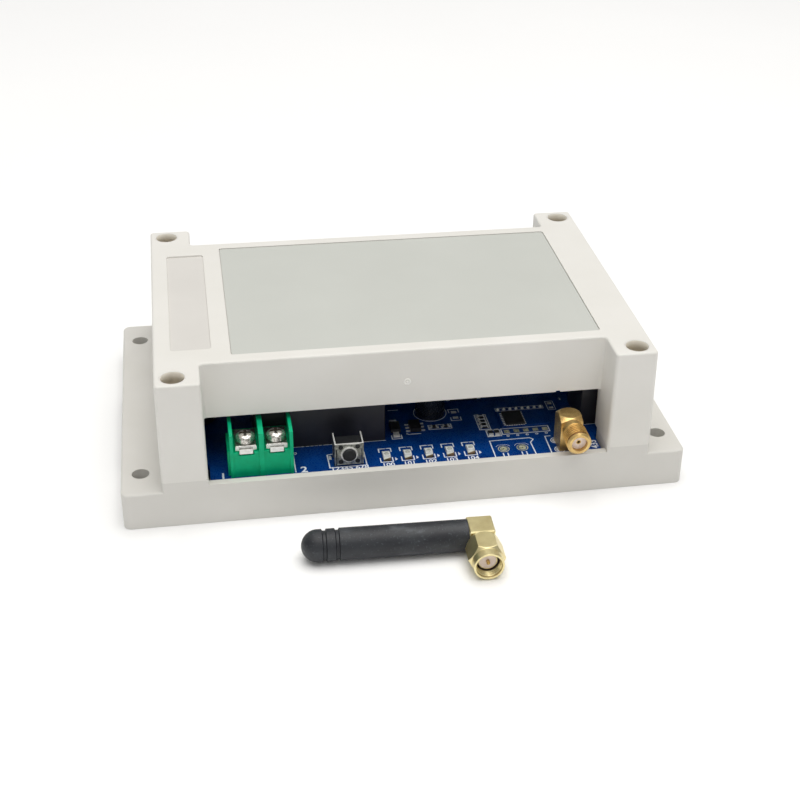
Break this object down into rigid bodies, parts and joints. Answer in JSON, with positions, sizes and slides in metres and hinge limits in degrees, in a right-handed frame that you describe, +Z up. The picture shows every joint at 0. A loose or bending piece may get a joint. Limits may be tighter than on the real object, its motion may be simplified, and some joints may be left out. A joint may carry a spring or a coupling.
{
  "type": "remote switch controller",
  "caption": "Rail and wall mount box with open wiring bays at front and back, barrier terminals, learn key, lamps, coaxial jack and a loose stub antenna.",
  "frame": {"origin": "centre of the four flange holes, on the plane that the box stands on", "axes": "+X right along the box, +Y from the learn key's side to the back, +Z up"},
  "size_m": [0.145, 0.1236, 0.04],
  "materials": {
    "housing": "fine grained moulding, warm light grey",
    "label": "smooth satin sheet, light grey",
    "screw_steel": "zinc plated",
    "board": "blue solder mask over fibreglass",
    "key_plastic": "black moulding",
    "key_steel": "pressed and tinned",
    "lamp": "white body with a pale lens",
    "gold": "gold plated brass",
    "white_insulator": "white fluoroplastic",
    "black_case": "black cases with a soft gloss",
    "chip_black": "black moulding",
    "solder": "bright solder",
    "capacitor_sleeve": "shrunk sleeve",
    "blue_disc": "dipped coating",
    "can_steel": "drawn can",
    "ceramic": "ceramic with tinned ends",
    "clip_plastic": "smooth moulding, as the housing",
    "mast_rubber": "soft black rubber",
    "terminal_green": "green moulding with a soft gloss",
    "terminal_metal": "tin plated"
  },
  "bodies": {
    "housing": {"base_tray": "housing", "top_cover": "housing", "cover_screws": "screw_steel", "front_label": "label", "circuit_board": "board", "board_screws": "screw_steel", "learn_key_body": "key_plastic", "learn_key_bracket": "key_steel", "status_leds": "lamp", "antenna_jack_body": "gold", "antenna_jack_insulator": "white_insulator", "antenna_jack_contact": "gold", "power_module": "black_case", "relays": "black_case", "radio_board": "board", "radio_chip": "chip_black", "radio_pins": "solder", "controller_chip": "chip_black", "relay_driver_chip": "chip_black", "voltage_regulator": "chip_black", "rectifier_diode": "chip_black", "smoothing_capacitor": "capacitor_sleeve", "filter_capacitor": "black_case", "fuse": "black_case", "varistor": "blue_disc", "crystal": "can_steel", "chip_resistors": "ceramic", "input_terminal_body": "terminal_green", "input_terminal_plates": "terminal_metal", "output_terminal_body": "terminal_green", "output_terminal_plates": "terminal_metal"},
    "learn_key": {"learn_key_plunger": "key_plastic"},
    "left_clip": {"rail_clip_left": "clip_plastic"},
    "right_clip": {"rail_clip_right": "clip_plastic"},
    "antenna": {"antenna_mast": "mast_rubber", "antenna_elbow": "gold", "antenna_insulator": "white_insulator", "antenna_pin": "gold"},
    "antenna_coupling_nut": {"antenna_nut": "gold"},
    "input_washer_1_body": {"input_washer_1": "terminal_metal"},
    "input_screw_1_body": {"input_screw_1": "terminal_metal"},
    "input_washer_2_body": {"input_washer_2": "terminal_metal"},
    "input_screw_2_body": {"input_screw_2": "terminal_metal"},
    "output_washer_1_body": {"output_washer_1": "terminal_metal"},
    "output_screw_1_body": {"output_screw_1": "terminal_metal"},
    "output_washer_2_body": {"output_washer_2": "terminal_metal"},
    "output_screw_2_body": {"output_screw_2": "terminal_metal"},
    "output_washer_3_body": {"output_washer_3": "terminal_metal"},
    "output_screw_3_body": {"output_screw_3": "terminal_metal"},
    "output_washer_4_body": {"output_washer_4": "terminal_metal"},
    "output_screw_4_body": {"output_screw_4": "terminal_metal"},
    "output_washer_5_body": {"output_washer_5": "terminal_metal"},
    "output_screw_5_body": {"output_screw_5": "terminal_metal"},
    "output_washer_6_body": {"output_washer_6": "terminal_metal"},
    "output_screw_6_body": {"output_screw_6": "terminal_metal"},
    "output_washer_7_body": {"output_washer_7": "terminal_metal"},
    "output_screw_7_body": {"output_screw_7": "terminal_metal"},
    "output_washer_8_body": {"output_washer_8": "terminal_metal"},
    "output_screw_8_body": {"output_screw_8": "terminal_metal"}
  },
  "joints": [
    {"name": "learn_key_press", "type": "slide", "parent": "housing", "child": "learn_key", "axis": [0, 1, 0], "range_m": [0, 0.00025], "stiffness_N_per_m": 6400},
    {"name": "left_clip_slide", "type": "slide", "parent": "housing", "child": "left_clip", "axis": [0, 1, 0], "range_m": [0, 0.003]},
    {"name": "right_clip_slide", "type": "slide", "parent": "housing", "child": "right_clip", "axis": [0, 1, 0], "range_m": [0, 0.003]},
    {"name": "antenna_lift", "type": "slide", "parent": "housing", "child": "antenna", "axis": [0, 0, 1], "range_m": [0, 0.06]},
    {"name": "antenna_nut_spin", "type": "hinge", "parent": "antenna", "child": "antenna_coupling_nut", "pos_m": [0.01345, -0.0653, 0.004], "axis": [-0.0332, -0.9995, 0], "continuous": true},
    {"name": "input_washer_1_lift", "type": "slide", "parent": "housing", "child": "input_washer_1_body", "axis": [0, 0, 1], "range_m": [0, 0.00249]},
    {"name": "input_screw_1_turn", "type": "hinge", "parent": "input_washer_1_body", "child": "input_screw_1_body", "pos_m": [-0.04129, -0.038, 0.0185], "axis": [0, 0, 1], "range_deg": [0, 1800]},
    {"name": "input_washer_2_lift", "type": "slide", "parent": "housing", "child": "input_washer_2_body", "axis": [0, 0, 1], "range_m": [0, 0.00249]},
    {"name": "input_screw_2_turn", "type": "hinge", "parent": "input_washer_2_body", "child": "input_screw_2_body", "pos_m": [-0.03367, -0.038, 0.0185], "axis": [0, 0, 1], "range_deg": [0, 1800]},
    {"name": "output_washer_1_lift", "type": "slide", "parent": "housing", "child": "output_washer_1_body", "axis": [0, 0, 1], "range_m": [0, 0.00249]},
    {"name": "output_screw_1_turn", "type": "hinge", "parent": "output_washer_1_body", "child": "output_screw_1_body", "pos_m": [0.02667, 0.038, 0.0185], "axis": [0, 0, 1], "range_deg": [0, 1800]},
    {"name": "output_washer_2_lift", "type": "slide", "parent": "housing", "child": "output_washer_2_body", "axis": [0, 0, 1], "range_m": [0, 0.00249]},
    {"name": "output_screw_2_turn", "type": "hinge", "parent": "output_washer_2_body", "child": "output_screw_2_body", "pos_m": [0.01905, 0.038, 0.0185], "axis": [0, 0, 1], "range_deg": [0, 1800]},
    {"name": "output_washer_3_lift", "type": "slide", "parent": "housing", "child": "output_washer_3_body", "axis": [0, 0, 1], "range_m": [0, 0.00249]},
    {"name": "output_screw_3_turn", "type": "hinge", "parent": "output_washer_3_body", "child": "output_screw_3_body", "pos_m": [0.01143, 0.038, 0.0185], "axis": [0, 0, 1], "range_deg": [0, 1800]},
    {"name": "output_washer_4_lift", "type": "slide", "parent": "housing", "child": "output_washer_4_body", "axis": [0, 0, 1], "range_m": [0, 0.00249]},
    {"name": "output_screw_4_turn", "type": "hinge", "parent": "output_washer_4_body", "child": "output_screw_4_body", "pos_m": [0.00381, 0.038, 0.0185], "axis": [0, 0, 1], "range_deg": [0, 1800]},
    {"name": "output_washer_5_lift", "type": "slide", "parent": "housing", "child": "output_washer_5_body", "axis": [0, 0, 1], "range_m": [0, 0.00249]},
    {"name": "output_screw_5_turn", "type": "hinge", "parent": "output_washer_5_body", "child": "output_screw_5_body", "pos_m": [-0.00381, 0.038, 0.0185], "axis": [0, 0, 1], "range_deg": [0, 1800]},
    {"name": "output_washer_6_lift", "type": "slide", "parent": "housing", "child": "output_washer_6_body", "axis": [0, 0, 1], "range_m": [0, 0.00249]},
    {"name": "output_screw_6_turn", "type": "hinge", "parent": "output_washer_6_body", "child": "output_screw_6_body", "pos_m": [-0.01143, 0.038, 0.0185], "axis": [0, 0, 1], "range_deg": [0, 1800]},
    {"name": "output_washer_7_lift", "type": "slide", "parent": "housing", "child": "output_washer_7_body", "axis": [0, 0, 1], "range_m": [0, 0.00249]},
    {"name": "output_screw_7_turn", "type": "hinge", "parent": "output_washer_7_body", "child": "output_screw_7_body", "pos_m": [-0.01905, 0.038, 0.0185], "axis": [0, 0, 1], "range_deg": [0, 1800]},
    {"name": "output_washer_8_lift", "type": "slide", "parent": "housing", "child": "output_washer_8_body", "axis": [0, 0, 1], "range_m": [0, 0.00249]},
    {"name": "output_screw_8_turn", "type": "hinge", "parent": "output_washer_8_body", "child": "output_screw_8_body", "pos_m": [-0.02667, 0.038, 0.0185], "axis": [0, 0, 1], "range_deg": [0, 1800]}
  ],
  "couplings": [
    {"joint": "input_screw_1_turn", "follows": "input_washer_1_lift", "rad_per_m": 12566},
    {"joint": "input_screw_2_turn", "follows": "input_washer_2_lift", "rad_per_m": 12566},
    {"joint": "output_screw_1_turn", "follows": "output_washer_1_lift", "rad_per_m": 12566},
    {"joint": "output_screw_2_turn", "follows": "output_washer_2_lift", "rad_per_m": 12566},
    {"joint": "output_screw_3_turn", "follows": "output_washer_3_lift", "rad_per_m": 12566},
    {"joint": "output_screw_4_turn", "follows": "output_washer_4_lift", "rad_per_m": 12566},
    {"joint": "output_screw_5_turn", "follows": "output_washer_5_lift", "rad_per_m": 12566},
    {"joint": "output_screw_6_turn", "follows": "output_washer_6_lift", "rad_per_m": 12566},
    {"joint": "output_screw_7_turn", "follows": "output_washer_7_lift", "rad_per_m": 12566},
    {"joint": "output_screw_8_turn", "follows": "output_washer_8_lift", "rad_per_m": 12566}
  ]
}
